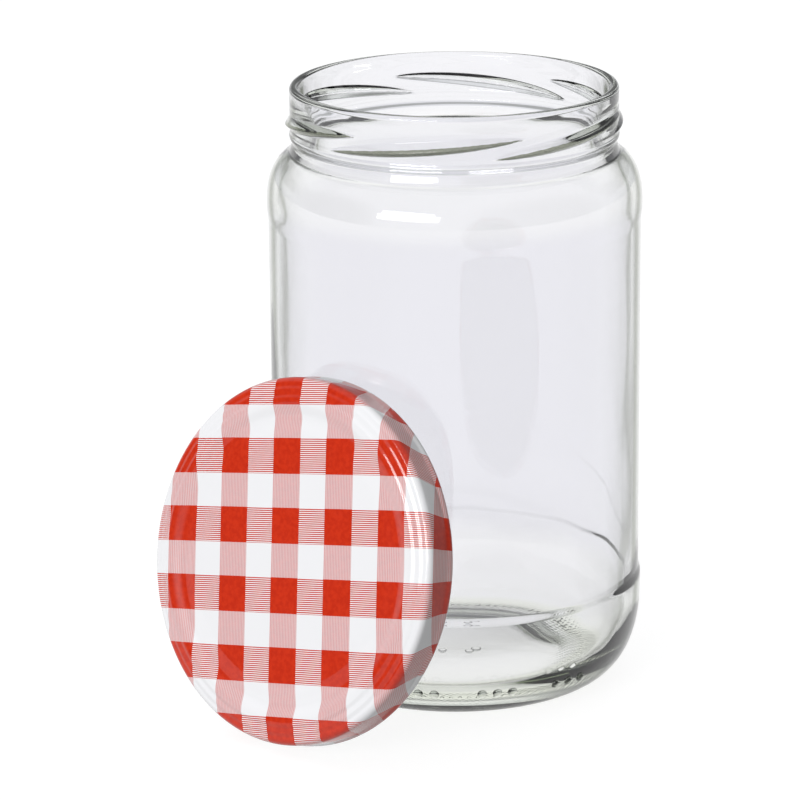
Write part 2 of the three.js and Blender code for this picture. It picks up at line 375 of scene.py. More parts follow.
def lid_outside():
    """The printed face, from the middle of the panel out and round the curl."""
    panel = LID_PANEL_HEIGHT
    dip = panel - CHANNEL_DEPTH
    crest = panel + RING_RISE
    middle = crest - STEP_DROP
    rim = middle - STEP_DROP
    half = STEP_WIDTH / 2
    edge = (LID_SKIRT_RADIUS - LID_EDGE_ROUND, rim - LID_EDGE_ROUND)
    return chain(
        straight((0.0, panel), (CHANNEL_RADIUS - CHANNEL_WIDTH, panel), 6),
        relief((CHANNEL_RADIUS - CHANNEL_WIDTH, panel), (CHANNEL_RADIUS, dip), 8),
        relief((CHANNEL_RADIUS, dip), (RING_RADIUS, crest), 10),
        relief((STEP_RADII[0] - half, crest), (STEP_RADII[0] + half, middle), 10),
        relief((STEP_RADII[1] - half, middle), (STEP_RADII[1] + half, rim), 10),
        arc(edge, LID_EDGE_ROUND, 90, 0, 10),
        straight((LID_SKIRT_RADIUS, edge[1]), (LID_SKIRT_RADIUS, CURL_TOP), 4),
        eased((LID_SKIRT_RADIUS, CURL_TOP), (LID_RADIUS, CURL_RADIUS), 5),
        arc((LID_RADIUS - CURL_RADIUS, CURL_RADIUS), CURL_RADIUS, 0, -CURL_ROLL, 20),
    )


def inset(points, distance):
    """The same curve moved to its right-hand side, for the sheet's other face."""
    shifted = []
    for i, p in enumerate(points):
        a = points[max(i - 1, 0)]
        b = points[min(i + 1, len(points) - 1)]
        length = math.dist(a, b)
        across = ((b[1] - a[1]) / length, -(b[0] - a[0]) / length)
        shifted.append((max(p[0] + across[0] * distance, 0.0), p[1] + across[1] * distance))
    shifted[0] = (0.0, shifted[0][1])
    return shifted


def blank_radii(points):
    """Radius on the flat blank of each point, keeping the sheet's area as it is pressed."""
    area = 0.0
    radii = [0.0]
    for a, b in zip(points, points[1:]):
        area += (a[0] + b[0]) / 2 * math.dist(a, b)
        radii.append(math.sqrt(2 * area))
    return radii


def seal_outline():
    """The compound's closed section, which follows the lid's relief above and is round below."""
    under = LID_PANEL_HEIGHT - LID_SHEET - SEAL_GAP
    crest = under + SEAL_RISE
    top = relief((SEAL_INNER, under - SEAL_INNER_DROP), (RING_RADIUS, crest), 8)
    fall = relief((RING_RADIUS, crest), (SEAL_OUTER, crest - SEAL_OUTER_DROP), 8)
    middle = (SEAL_INNER + SEAL_OUTER) / 2
    half = (SEAL_OUTER - SEAL_INNER) / 2
    low = []
    for t in shares(16):
        c, s = math.cos(math.pi * t), math.sin(math.pi * t)
        low.append((middle + half * c, SEAL_UNDERSIDE + SEAL_ROUND * (1 - s ** 0.5)))
    ring = chain(top, fall, low)
    return [ring[0]] + ring[::-1]


# Node helpers, for geometry and shader trees alike

def add(tree, kind, **settings):
    node = tree.nodes.new(kind)
    for name, value in settings.items():
        setattr(node, name, value)
    return node


def feed(tree, socket, value):
    """Links a socket to another, or sets its own value."""
    if isinstance(value, bpy.types.NodeSocket):
        tree.links.new(value, socket)
    else:
        socket.default_value = value


def calc(tree, operation, *values):
    node = add(tree, "ShaderNodeMath", operation=operation)
    for socket, value in zip(node.inputs, values):
        feed(tree, socket, value)
    return node.outputs[0]


def times(tree, first, *others):
    """The product of its values."""
    product = first
    for value in others:
        product = calc(tree, "MULTIPLY", product, value)
    return product


def from_axis(tree, x, y):
    return calc(tree, "SQRT", calc(tree, "ADD", times(tree, x, x), times(tree, y, y)))


def around(tree, x, y):
    """Angle in radians from -Y towards +X."""
    return calc(tree, "ARCTAN2", x, times(tree, y, -1.0))


def vector(tree, x, y, z):
    node = add(tree, "ShaderNodeCombineXYZ")
    for socket, value in zip(node.inputs, (x, y, z)):
        feed(tree, socket, value)
    return node.outputs[0]


def parts_of(tree, value):
    node = add(tree, "ShaderNodeSeparateXYZ")
    feed(tree, node.inputs[0], value)
    return node.outputs


def new_group(name, kind, inputs, outputs):
    """A node tree with named sockets; returns the tree, its inputs by name and its output node."""
    tree = bpy.data.node_groups.new(name, kind)
    for label, socket, value in inputs:
        made = tree.interface.new_socket(label, in_out="INPUT", socket_type=socket)
        if value is not None:
            made.default_value = value
    for label, socket in outputs:
        tree.interface.new_socket(label, in_out="OUTPUT", socket_type=socket)
    head = add(tree, "NodeGroupInput")
    tail = add(tree, "NodeGroupOutput")
    return tree, head.outputs, tail


def place(tree, group, **values):
    """Puts a group into a tree; an underscore in a value's name stands for the space in its socket's."""
    is_shader = tree.bl_idname == "ShaderNodeTree"
    node = add(tree, "ShaderNodeGroup" if is_shader else "GeometryNodeGroup", node_tree=group)
    for label, value in values.items():
        feed(tree, node.inputs[label.replace("_", " ").capitalize()], value)
    return node


# Node helpers for geometry trees

def position(tree):
    return add(tree, "GeometryNodeInputPosition").outputs[0]


def index(tree):
    return add(tree, "GeometryNodeInputIndex").outputs[0]


def named(tree, name):
    node = add(tree, "GeometryNodeInputNamedAttribute", data_type="FLOAT")
    node.inputs["Name"].default_value = name
    return node.outputs["Attribute"]


def store(tree, mesh, name, value, data_type="FLOAT", domain="POINT"):
    node = add(tree, "GeometryNodeStoreNamedAttribute", data_type=data_type, domain=domain)
    feed(tree, node.inputs["Geometry"], mesh)
    node.inputs["Name"].default_value = name
    feed(tree, node.inputs["Value"], value)
    return node.outputs[0]


def put(tree, mesh, **where):
    """Sets a mesh's points to a position, or moves them by an offset."""
    node = add(tree, "GeometryNodeSetPosition")
    feed(tree, node.inputs["Geometry"], mesh)
    for label, value in where.items():
        feed(tree, node.inputs[label.capitalize()], value)
    return node.outputs[0]


def pushed_out(tree, mesh, x, y, distance):
    """Moves each point straight away from the Z axis."""
    outward = add(tree, "ShaderNodeVectorMath", operation="NORMALIZE")
    feed(tree, outward.inputs[0], vector(tree, x, y, 0.0))
    offset = add(tree, "ShaderNodeVectorMath", operation="SCALE")
    feed(tree, offset.inputs[0], outward.outputs[0])
    feed(tree, offset.inputs["Scale"], distance)
    return put(tree, mesh, offset=offset.outputs[0])


def on_points(tree, points, shape, turn, size):
    """A shape on each point, turned, and stretched to a size in millimetres."""
    rotation = add(tree, "FunctionNodeEulerToRotation")
    feed(tree, rotation.inputs[0], turn)
    node = add(tree, "GeometryNodeInstanceOnPoints")
    feed(tree, node.inputs["Points"], points)
    feed(tree, node.inputs["Instance"], shape)
    feed(tree, node.inputs["Rotation"], rotation.outputs[0])
    node.inputs["Scale"].default_value = tuple(s * MM for s in size)
    return node.outputs[0]


def ball(tree, segments, rings):
    node = add(tree, "GeometryNodeMeshUVSphere")
    node.inputs["Segments"].default_value = segments
    node.inputs["Rings"].default_value = rings
    node.inputs["Radius"].default_value = 1.0
    return node.outputs[0]


def realized(tree, mesh):
    node = add(tree, "GeometryNodeRealizeInstances")
    feed(tree, node.inputs[0], mesh)
    return node.outputs[0]


# Geometry Nodes: a profile turned round the Z axis

def turned_group():
    """Turns the input mesh's points, in order, into a closed skin with a row for each point."""
    tree, given, tail = new_group(
        "turned_profile", "GeometryNodeTree",
        [("Profile", "NodeSocketGeometry", None), ("Columns", "NodeSocketInt", JAR_COLUMNS)],
        [("Mesh", "NodeSocketGeometry")])
    size = add(tree, "GeometryNodeAttributeDomainSize", component="MESH")
    feed(tree, size.inputs[0], given["Profile"])
    rows = size.outputs["Point Count"]
    grid = add(tree, "GeometryNodeMeshGrid")
    feed(tree, grid.inputs["Vertices X"], calc(tree, "ADD", given["Columns"], 1))
    feed(tree, grid.inputs["Vertices Y"], rows)
    row = calc(tree, "MODULO", index(tree), rows)
    column = calc(tree, "FLOOR", calc(tree, "DIVIDE", index(tree), rows))

    def sampled(data_type, value):
        node = add(tree, "GeometryNodeSampleIndex", data_type=data_type, domain="POINT")
        feed(tree, node.inputs["Geometry"], given["Profile"])
        feed(tree, node.inputs["Value"], value)
        feed(tree, node.inputs["Index"], row)
        return node.outputs[0]

    radius, unused, height = parts_of(tree, sampled("FLOAT_VECTOR", position(tree)))
    mesh = grid.outputs["Mesh"]
    for name in ("along", "side"):
        mesh = store(tree, mesh, name, sampled("FLOAT", named(tree, name)))
    angle = times(tree, calc(tree, "DIVIDE", column, given["Columns"]), TURN)
    across = times(tree, radius, calc(tree, "SINE", angle))
    ahead = times(tree, radius, calc(tree, "COSINE", angle), -1.0)
    merge = add(tree, "GeometryNodeMergeByDistance")
    feed(tree, merge.inputs["Geometry"], put(tree, mesh, position=vector(tree, across, ahead, height)))
    merge.inputs["Distance"].default_value = MERGE_REACH * MM
    feed(tree, tail.inputs["Mesh"], merge.outputs[0])
    return tree


def finished(tree, mesh, material, sharp_angle):
    """Smooth shading with sharp edges past an angle, then the material."""
    faces = add(tree, "GeometryNodeSetShadeSmooth", domain="FACE")
    feed(tree, faces.inputs[0], realized(tree, mesh))
    bend = add(tree, "GeometryNodeInputMeshEdgeAngle").outputs["Unsigned Angle"]
    edges = add(tree, "GeometryNodeSetShadeSmooth", domain="EDGE")
    feed(tree, edges.inputs[0], faces.outputs[0])
    feed(tree, edges.inputs["Shade Smooth"], calc(tree, "LESS_THAN", bend, sharp_angle))
    coated = add(tree, "GeometryNodeSetMaterial")
    feed(tree, coated.inputs["Geometry"], edges.outputs[0])
    coated.inputs["Material"].default_value = material
    return coated.outputs[0]


# Geometry Nodes: the jar

def thread_ridge_group():
    """Height of one thread at a share of its run and a height on the mouth, and its lower flank's mask."""
    tree, given, tail = new_group(
        "thread_ridge", "GeometryNodeTree",
        [("Share", "NodeSocketFloat", 0.0), ("Height", "NodeSocketFloat", 0.0),
         ("Depth", "NodeSocketFloat", 0.0), ("Below", "NodeSocketFloat", 0.0),
         ("Above", "NodeSocketFloat", 0.0)],
        [("Ridge", "NodeSocketFloat"), ("Flank", "NodeSocketFloat")])
    half_turn = times(tree, given["Share"], math.pi)
    swell = calc(tree, "MAXIMUM", calc(tree, "SINE", half_turn), 0.0)
    taper = calc(tree, "POWER", swell, THREAD_TAPER)
    climb = times(tree, given["Share"], (THREAD_HIGH_Z - THREAD_LOW_Z) * MM)
    offset = calc(tree, "SUBTRACT", given["Height"], calc(tree, "ADD", climb, THREAD_LOW_Z * MM))
    is_above = calc(tree, "GREATER_THAN", offset, 0.0)
    longer = calc(tree, "SUBTRACT", given["Above"], given["Below"])
    extent = calc(tree, "MULTIPLY_ADD", is_above, longer, given["Below"])
    reach = times(tree, extent, calc(tree, "MAXIMUM", taper, THREAD_TIP))
    away = calc(tree, "DIVIDE", calc(tree, "ABSOLUTE", offset), reach)
    slope = calc(tree, "SUBTRACT", 1.0, calc(tree, "SMOOTH_MAX", away, 0.0, THREAD_CREST_ROUND))
    bell = calc(tree, "SMOOTH_MAX", slope, 0.0, THREAD_FOOT_ROUND)
    on = calc(tree, "LESS_THAN", given["Share"], 1.0)
    feed(tree, tail.inputs["Ridge"], times(tree, bell, taper, given["Depth"], on))
    under = calc(tree, "LESS_THAN", offset, times(tree, taper, FLANK_ABOVE * MM))
    thick = calc(tree, "MINIMUM", times(tree, bell, FLANK_FADE), 1.0)
    feed(tree, tail.inputs["Flank"], times(tree, under, thick, on))
    return tree


def dot_row_group():
    """A short row of low round dots on a circle, each facing out by its slope."""
    tree, given, tail = new_group(
        "dot_row", "GeometryNodeTree",
        [("First", "NodeSocketFloat", 0.0), ("Pitch", "NodeSocketFloat", 0.0), ("Count", "NodeSocketInt", 3),
         ("Radius", "NodeSocketFloat", 0.0), ("Height", "NodeSocketFloat", 0.0),
         ("Slope", "NodeSocketFloat", 0.0)],
        [("Dots", "NodeSocketGeometry")])
    line = add(tree, "GeometryNodeMeshLine")
    feed(tree, line.inputs["Count"], given["Count"])
    degrees = calc(tree, "ADD", given["First"], times(tree, given["Pitch"], index(tree)))
    angle = calc(tree, "RADIANS", degrees)
    across = times(tree, calc(tree, "SINE", angle), given["Radius"])
    ahead = times(tree, calc(tree, "COSINE", angle), given["Radius"], -1.0)
    points = put(tree, line.outputs[0], position=vector(tree, across, ahead, given["Height"]))
    turn = vector(tree, given["Slope"], 0.0, angle)
    dots = on_points(tree, points, ball(tree, 20, 10), turn, (DOT_RADIUS, DOT_RISE, DOT_RADIUS))
    feed(tree, tail.inputs["Dots"], dots)
    return tree


def knurl_group():
    """The ring of short ribs on which the jar stands."""
    tree, given, tail = new_group(
        "knurled_ring", "GeometryNodeTree",
        [("Count", "NodeSocketInt", KNURLS), ("Radius", "NodeSocketFloat", KNURL_RADIUS * MM)],
        [("Knurls", "NodeSocketGeometry")])
    ring = add(tree, "GeometryNodeMeshCircle", fill_type="NONE")
    feed(tree, ring.inputs["Vertices"], given["Count"])
    feed(tree, ring.inputs["Radius"], given["Radius"])
    x, y, unused = parts_of(tree, position(tree))
    points = put(tree, ring.outputs[0], offset=(0.0, 0.0, KNURL_Z * MM))
    turn = vector(tree, 0.0, 0.0, around(tree, x, y))
    feed(tree, tail.inputs["Knurls"], on_points(tree, points, ball(tree, 10, 6), turn, KNURL_SIZE))
    return tree


def heel_radius(z):
    rise = (HEEL_TOP_Z - z) / HEEL_TOP_Z
    return BEARING_OUTER + (HEEL_RADIUS - BEARING_OUTER) * (1 - rise ** HEEL_POWER) ** (1 / HEEL_POWER)


def raised_marks(tree):
    """The dots on the heel and under the base, and the knurled ring."""
    marks = add(tree, "GeometryNodeJoinGeometry")
    dot_rows = dot_row_group()
    heel_slope = math.atan2(heel_radius(DOT_Z + 0.5) - heel_radius(DOT_Z - 0.5), 1.0)
    rows = [(row, heel_radius(DOT_Z), DOT_Z, heel_slope) for row in DOT_ROWS]
    rows += [(row, BASE_DOT_RING, BASE_DOT_Z, math.pi / 2) for row in BASE_DOT_ROWS]
    for (first, gap, count), radius, height, slope in rows:
        row = place(tree, dot_rows, first=first, pitch=gap, count=count,
                    radius=radius * MM, height=height * MM, slope=slope)
        tree.links.new(row.outputs[0], marks.inputs[0])
    knurls = place(tree, knurl_group())
    tree.links.new(knurls.outputs[0], marks.inputs[0])
    return realized(tree, marks.outputs[0])


def thread_relief(tree, given, x, y, z):
    """Height of all the threads, of which two overlap at most, and the mask of their lower flanks."""
    pitch = 360.0 / THREADS
    angle = calc(tree, "DEGREES", around(tree, x, y))
    into = calc(tree, "MODULO", calc(tree, "ADD", angle, WHOLE_TURNS - THREAD_START), pitch)
    share = calc(tree, "DIVIDE", into, THREAD_SPAN)
    ridge_group = thread_ridge_group()
    here, before = [place(tree, ridge_group, share=run, height=z, depth=given["Thread depth"],
                          below=given["Thread below"], above=given["Thread above"]).outputs
                    for run in (share, calc(tree, "ADD", share, pitch / THREAD_SPAN))]
    return [calc(tree, "MAXIMUM", here[name], before[name]) for name in ("Ridge", "Flank")]


def wave(tree, given, x, y, z):
    """The slow unevenness of the blown inside."""
    noise = add(tree, "ShaderNodeTexNoise", noise_dimensions="4D")
    feed(tree, noise.inputs["Vector"], vector(tree, x, y, times(tree, z, WAVE_STRETCH)))
    feed(tree, noise.inputs["W"], given["Seed"])
    noise.inputs["Scale"].default_value = WAVE_SCALE
    noise.inputs["Detail"].default_value = 1.0
    return times(tree, calc(tree, "SUBTRACT", noise.outputs[0], 0.5), given["Waviness"])


def jar_tree(turned, material):
    tree, given, tail = new_group(
        "canning_jar", "GeometryNodeTree",
        [("Profile", "NodeSocketGeometry", None), ("Columns", "NodeSocketInt", JAR_COLUMNS),
         ("Thread depth", "NodeSocketFloat", THREAD_DEPTH * MM),
         ("Thread below", "NodeSocketFloat", THREAD_BELOW * MM),
         ("Thread above", "NodeSocketFloat", THREAD_ABOVE * MM),
         ("Waviness", "NodeSocketFloat", WAVINESS * MM), ("Seed", "NodeSocketFloat", WAVE_SEED)],
        [("Geometry", "NodeSocketGeometry")])
    skin = place(tree, turned, profile=given["Profile"], columns=given["Columns"])
    x, y, z = parts_of(tree, position(tree))
    inner = named(tree, "side")
    outer = calc(tree, "SUBTRACT", 1.0, inner)
    ridge, flank = thread_relief(tree, given, x, y, z)
    # The flank mask is where the glass material paints shade on the threads
    mesh = store(tree, skin.outputs[0], "flank", times(tree, flank, outer))
    ripple = times(tree, wave(tree, given, x, y, z), inner)
    mesh = pushed_out(tree, mesh, x, y, calc(tree, "ADD", times(tree, ridge, outer), ripple))
    union = add(tree, "GeometryNodeMeshBoolean", operation="UNION", solver="MANIFOLD")
    operands = union.inputs[1]
    feed(tree, operands, raised_marks(tree))
    feed(tree, operands, mesh)
    feed(tree, tail.inputs[0], finished(tree, union.outputs[0], material, JAR_SHARP))
    return tree


# Geometry Nodes: the lid and its sealing compound

def lid_tree(turned, material):
    """The lid's sheet, with its place on the flat blank as a UV map and six lugs pressed in."""
    tree, given, tail = new_group(
        "screw_lid", "GeometryNodeTree",
        [("Profile", "NodeSocketGeometry", None), ("Columns", "NodeSocketInt", LID_COLUMNS),
         ("Lug depth", "NodeSocketFloat", LUG_DEPTH * MM),
         ("Lug half span", "NodeSocketFloat", LUG_HALF_SPAN)],
        [("Geometry", "NodeSocketGeometry")])
    skin = place(tree, turned, profile=given["Profile"], columns=given["Columns"])
    x, y, z = parts_of(tree, position(tree))
    radius = from_axis(tree, x, y)
    stretch = calc(tree, "DIVIDE", named(tree, "along"), calc(tree, "MAXIMUM", radius, 1e-6))
    scale = 1 / (BLANK_SPAN * MM)
    u, v = [calc(tree, "MULTIPLY_ADD", times(tree, axis, stretch), scale, 0.5) for axis in (x, y)]
    mesh = store(tree, skin.outputs[0], "blank", vector(tree, u, v, 0.0), "FLOAT2", "CORNER")
    pitch = 360.0 / THREADS
    angle = calc(tree, "DEGREES", calc(tree, "ARCTAN2", y, x))
    into = calc(tree, "MODULO", calc(tree, "ADD", angle, WHOLE_TURNS), pitch)
    off_middle = calc(tree, "ABSOLUTE", calc(tree, "SUBTRACT", into, pitch / 2))
    off = calc(tree, "MINIMUM", calc(tree, "DIVIDE", off_middle, given["Lug half span"]), 1.0)
    plateau = calc(tree, "SUBTRACT", 1.0, calc(tree, "POWER", off, LUG_SQUARENESS))
    low = calc(tree, "LESS_THAN", z, LUG_TOP * MM)
    inward = calc(tree, "DIVIDE", calc(tree, "SUBTRACT", LUG_ROOT * MM, radius), 2 * CURL_RADIUS * MM)
    inward = calc(tree, "MINIMUM", calc(tree, "MAXIMUM", inward, 0.0), 1.0)
    depth = times(tree, inward, plateau, given["Lug depth"], low)
    mesh = pushed_out(tree, mesh, x, y, times(tree, depth, -1.0))
    feed(tree, tail.inputs[0], finished(tree, mesh, material, LID_SHARP))
    return tree


def seal_tree(turned, material):
    tree, given, tail = new_group(
        "compound_ring", "GeometryNodeTree",
        [("Profile", "NodeSocketGeometry", None), ("Columns", "NodeSocketInt", SEAL_COLUMNS)],
        [("Geometry", "NodeSocketGeometry")])
    skin = place(tree, turned, profile=given["Profile"], columns=given["Columns"])
    feed(tree, tail.inputs[0], finished(tree, skin.outputs[0], material, SEAL_SHARP))
    return tree


def piece_from(name, tree, rows, placing):
    """Runs a tree on a profile and keeps the result as a plain mesh with its place in it.

    A row is radius, height, radius on the flat blank, and 1 on the second of the two faces."""
    profile = bpy.data.meshes.new(name + "_profile")
    profile.from_pydata([(r * MM, 0.0, z * MM) for r, z, along, side in rows], [], [])
    for attribute, column, unit in (("along", 2, MM), ("side", 3, 1.0)):
        values = profile.attributes.new(attribute, "FLOAT", "POINT")
        values.data.foreach_set("value", [row[column] * unit for row in rows])
    piece = bpy.data.objects.new(name, profile)
    bpy.context.scene.collection.objects.link(piece)
    modifier = piece.modifiers.new("shape", "NODES")
    modifier.node_group = tree
    inputs = {item.name: item.identifier for item in tree.interface.items_tree
              if item.in_out == "INPUT" and item.socket_type != "NodeSocketGeometry"}
    for label, identifier in inputs.items():
        modifier[identifier] = tree.interface.items_tree[label].default_value
    evaluated = piece.evaluated_get(bpy.context.evaluated_depsgraph_get())
    mesh = bpy.data.meshes.new_from_object(evaluated)
    piece.modifiers.remove(modifier)
    piece.data = mesh
    mesh.name = name
    material = mesh.materials[-1]
    mesh.materials.clear()
    mesh.materials.append(material)
    mesh.polygons.foreach_set("material_index", [0] * len(mesh.polygons))
    mesh.transform(placing)
    bpy.data.meshes.remove(profile)
    return piece


# Shader nodes

def ripple_group():
    """A fine uneven surface, as a height, and a faint cloudiness, as a mask."""
    tree, given, tail = new_group(
        "surface_ripple", "ShaderNodeTree",
        [("Scale", "NodeSocketFloat", 100.0), ("Stretch", "NodeSocketFloat", 1.0)],
        [("Height", "NodeSocketFloat"), ("Cloud", "NodeSocketFloat")])
    x, y, z = parts_of(tree, add(tree, "ShaderNodeTexCoord").outputs["Object"])
    spot = vector(tree, x, y, times(tree, z, given["Stretch"]))
    fine = add(tree, "ShaderNodeTexNoise")
    feed(tree, fine.inputs["Vector"], spot)
    feed(tree, fine.inputs["Scale"], given["Scale"])
    fine.inputs["Detail"].default_value = 2.0
    broad = add(tree, "ShaderNodeTexNoise")
    feed(tree, broad.inputs["Vector"], spot)
    feed(tree, broad.inputs["Scale"], times(tree, given["Scale"], 0.2))
    feed(tree, tail.inputs["Height"], fine.outputs[0])
    feed(tree, tail.inputs["Cloud"], broad.outputs[0])
    return tree


def new_material(name):
    material = bpy.data.materials.new(name)
    material.use_nodes = True
    tree = material.node_tree
    return material, tree, tree.nodes["Principled BSDF"]


def bumped(tree, height, strength, distance, normal=None):
    """A normal bent by a height, on top of another normal where one is given."""
    bump = add(tree, "ShaderNodeBump")
    bump.inputs["Strength"].default_value = strength
    bump.inputs["Distance"].default_value = distance
    feed(tree, bump.inputs["Height"], height)
    if normal is not None:
        feed(tree, bump.inputs["Normal"], normal)
    return bump.outputs[0]


def mixed(tree, factor, a, b):
    node = add(tree, "ShaderNodeMix", data_type="RGBA")
    feed(tree, node.inputs[0], factor)
    feed(tree, node.inputs[6], a)
    feed(tree, node.inputs[7], b)
    return node.outputs[2]


def spread(tree, value, low, high, to_low=0.0, to_high=1.0):
    node = add(tree, "ShaderNodeMapRange", interpolation_type="SMOOTHSTEP")
    feed(tree, node.inputs["Value"], value)
    node.inputs["From Min"].default_value = low
    node.inputs["From Max"].default_value = high
    node.inputs["To Min"].default_value = to_low
    node.inputs["To Max"].default_value = to_high
    return node.outputs[0]


def rising(tree, distance, fade):
    return spread(tree, distance, fade[0] * MM, fade[1] * MM)


def falling(tree, distance, fade, to=0.0):
    return spread(tree, distance, fade[0] * MM, fade[1] * MM, 1.0, to)


def glass_masks(tree):
    """Masks of the jar's zones.

    Thick is the heel and the shoulder, where the tint is lightened as painted light, side is the heel above
    its foot, where a broad painted shade falls, foot is the ring that the jar stands on, lip fades the
    painted edge shade towards the mouth's edge, and stipple is the height of the fine grid by the foot."""
    x, y, z = parts_of(tree, add(tree, "ShaderNodeTexCoord").outputs["Object"])
    waves = [calc(tree, "SINE", times(tree, axis, TURN / (2 * STIPPLE_PITCH * MM))) for axis in (x, y)]
    grid = calc(tree, "ABSOLUTE", times(tree, *waves))
    radius = from_axis(tree, calc(tree, "SUBTRACT", x, JAR_X), calc(tree, "SUBTRACT", y, JAR_Y))
    heel = falling(tree, z, HEEL_FADE)
    crown = times(tree, rising(tree, z, CROWN_RISE), falling(tree, z, CROWN_FADE))
    foot_ring = rising(tree, radius, (BEARING_INNER, KNURL_RADIUS))
    stipple_ring = rising(tree, radius, (STIPPLE_INNER, BEARING_OUTER))
    return {
        "thick": calc(tree, "MAXIMUM", heel, crown),
        "side": times(tree, heel, rising(tree, z, SIDE_FADE)),
        "foot": times(tree, falling(tree, z, FOOT_FADE), foot_ring),
        "lip": falling(tree, z, LIP_FADE, LIP_SHARE),
        "stipple": times(tree, grid, falling(tree, z, STIPPLE_FADE), stipple_ring),
    }


def painted_limb_shade(tree, masks):
    """Painted shade where the glass is seen edge on: a dark limb, and a broader one on the heel's side."""
    weight = add(tree, "ShaderNodeLayerWeight")
    weight.inputs["Blend"].default_value = 0.5
    facing = weight.outputs["Facing"]
    soft = spread(tree, facing, 0.46, 0.90, 0.0, 0.6)
    limb = times(tree, spread(tree, facing, 0.66, 0.78), spread(tree, facing, 0.80, 0.92, 1.0, 0.4))
    broad = times(tree, spread(tree, facing, 0.22, 0.85, 0.0, 0.8), masks["side"])
    return calc(tree, "MAXIMUM", times(tree, calc(tree, "MAXIMUM", soft, limb), masks["lip"]), broad)


def glass_material(ripple):
    """Clear glass, a little grey, with painted olive shade where it is seen edge on and on the threads'
    lower flanks, and painted light on the heel and shoulder.
    """
    material, tree, shader = new_material("clear_glass")
    shader.inputs["Transmission Weight"].default_value = 1.0
    shader.inputs["Roughness"].default_value = 0.0
    shader.inputs["IOR"].default_value = GLASS_IOR
    masks = glass_masks(tree)
    uneven = place(tree, ripple, scale=60.0, stretch=0.3)
    normal = bumped(tree, uneven.outputs["Height"], 0.25, 0.0004)
    feed(tree, shader.inputs["Normal"], bumped(tree, masks["stipple"], 0.4, 0.0002, normal))
    inward = add(tree, "ShaderNodeNewGeometry").outputs["Backfacing"]
    foot = times(tree, masks["foot"], calc(tree, "MULTIPLY_ADD", inward, -0.7, 1.0))
    # The heel and shoulder get a lighter tint, which is painted light; the foot ring gets its own
    # yellow-green
    clear = mixed(tree, foot, mixed(tree, masks["thick"], PANEL_TINT, THICK_LIGHTENING), FOOT_TINT)
    # Painted shade: the glass darkens towards olive where it is seen edge on
    limb_shaded = mixed(tree, painted_limb_shade(tree, masks), clear, EDGE_SHADE)
    flank = add(tree, "ShaderNodeAttribute", attribute_name="flank").outputs["Fac"]
    # Painted shade: near black on the threads' lower flanks, weaker where the glass is seen from inside
    dark = times(tree, spread(tree, flank, 0.15, 0.9), calc(tree, "MULTIPLY_ADD", inward, -0.92, 0.96))
    feed(tree, shader.inputs["Base Color"], mixed(tree, dark, limb_shaded, FLANK_SHADE))
    absorb = add(tree, "ShaderNodeVolumeAbsorption")
    absorb.inputs["Color"].default_value = GLASS_COLOUR
    absorb.inputs["Density"].default_value = GLASS_DENSITY
    tree.links.new(absorb.outputs[0], tree.nodes["Material Output"].inputs["Volume"])
    return material


def gingham(tree):
    """Mask of the red ink: solid where a red row and column cross, fine lines where only one runs."""
    blank = add(tree, "ShaderNodeUVMap", uv_map="blank")
    centred = add(tree, "ShaderNodeVectorMath", operation="SUBTRACT")
    feed(tree, centred.inputs[0], blank.outputs[0])
    centred.inputs[1].default_value = (0.5, 0.5, 0.0)
    turned = add(tree, "ShaderNodeMapping")
    feed(tree, turned.inputs["Vector"], centred.outputs[0])
    turned.inputs["Rotation"].default_value = (0.0, 0.0, -CHECK_TURN)
    turned.inputs["Scale"].default_value = (BLANK_SPAN / CHECK,) * 3
    across, along, unused = parts_of(tree, turned.outputs[0])
    column = calc(tree, "ADD", across, COLUMN_SHIFT / CHECK)
    row = calc(tree, "SUBTRACT", ROW_SHIFT / CHECK, along)
    creep = INK_SPREAD / (4 * CHECK)
    bands = []
    for place_in_checks, start in ((column, 0.0), (row, 0.5)):
        part = calc(tree, "FRACT", calc(tree, "MULTIPLY_ADD", place_in_checks, 0.5, start + creep))
        bands.append(calc(tree, "LESS_THAN", part, 0.5 + 2 * creep))
    red_column, red_row = bands
    inks = []
    for place_in_checks, (share, gap_ink, line_ink) in ((row, ROW_LINES), (column, COLUMN_LINES)):
        part = calc(tree, "FRACT", times(tree, place_in_checks, float(LINES_PER_CHECK)))
        line = calc(tree, "LESS_THAN", part, share)
        inks.append(calc(tree, "MULTIPLY_ADD", line, line_ink - gap_ink, gap_ink))
    lines = calc(tree, "MAXIMUM", times(tree, red_row, inks[0]), times(tree, red_column, inks[1]))
    return calc(tree, "MAXIMUM", times(tree, red_row, red_column), lines)


def lid_material(ripple):
    """Gingham print under glossy lacquer outside, and plain light lacquer inside."""
    material, tree, shader = new_material("gingham_lacquer")
    uneven = place(tree, ripple, scale=900.0, stretch=1.0)
    feed(tree, shader.inputs["Normal"], bumped(tree, uneven.outputs["Height"], 0.04, 0.0002))
    ink = mixed(tree, spread(tree, uneven.outputs["Height"], 0.3, 0.7), *INK)
    outside = mixed(tree, gingham(tree), WHITE, ink)
    inside = mixed(tree, uneven.outputs["Cloud"], *LID_INSIDE)
    side = add(tree, "ShaderNodeAttribute", attribute_name="side").outputs["Fac"]
    feed(tree, shader.inputs["Base Color"], mixed(tree, spread(tree, side, 0.45, 0.55), inside, outside))
    feed(tree, shader.inputs["Roughness"], spread(tree, uneven.outputs["Cloud"], 0.2, 0.8, 0.30, 0.38))
    shader.inputs["Specular IOR Level"].default_value = 0.12
    shader.inputs["Coat Weight"].default_value = 0.55
    shader.inputs["Coat Roughness"].default_value = 0.03
    return material


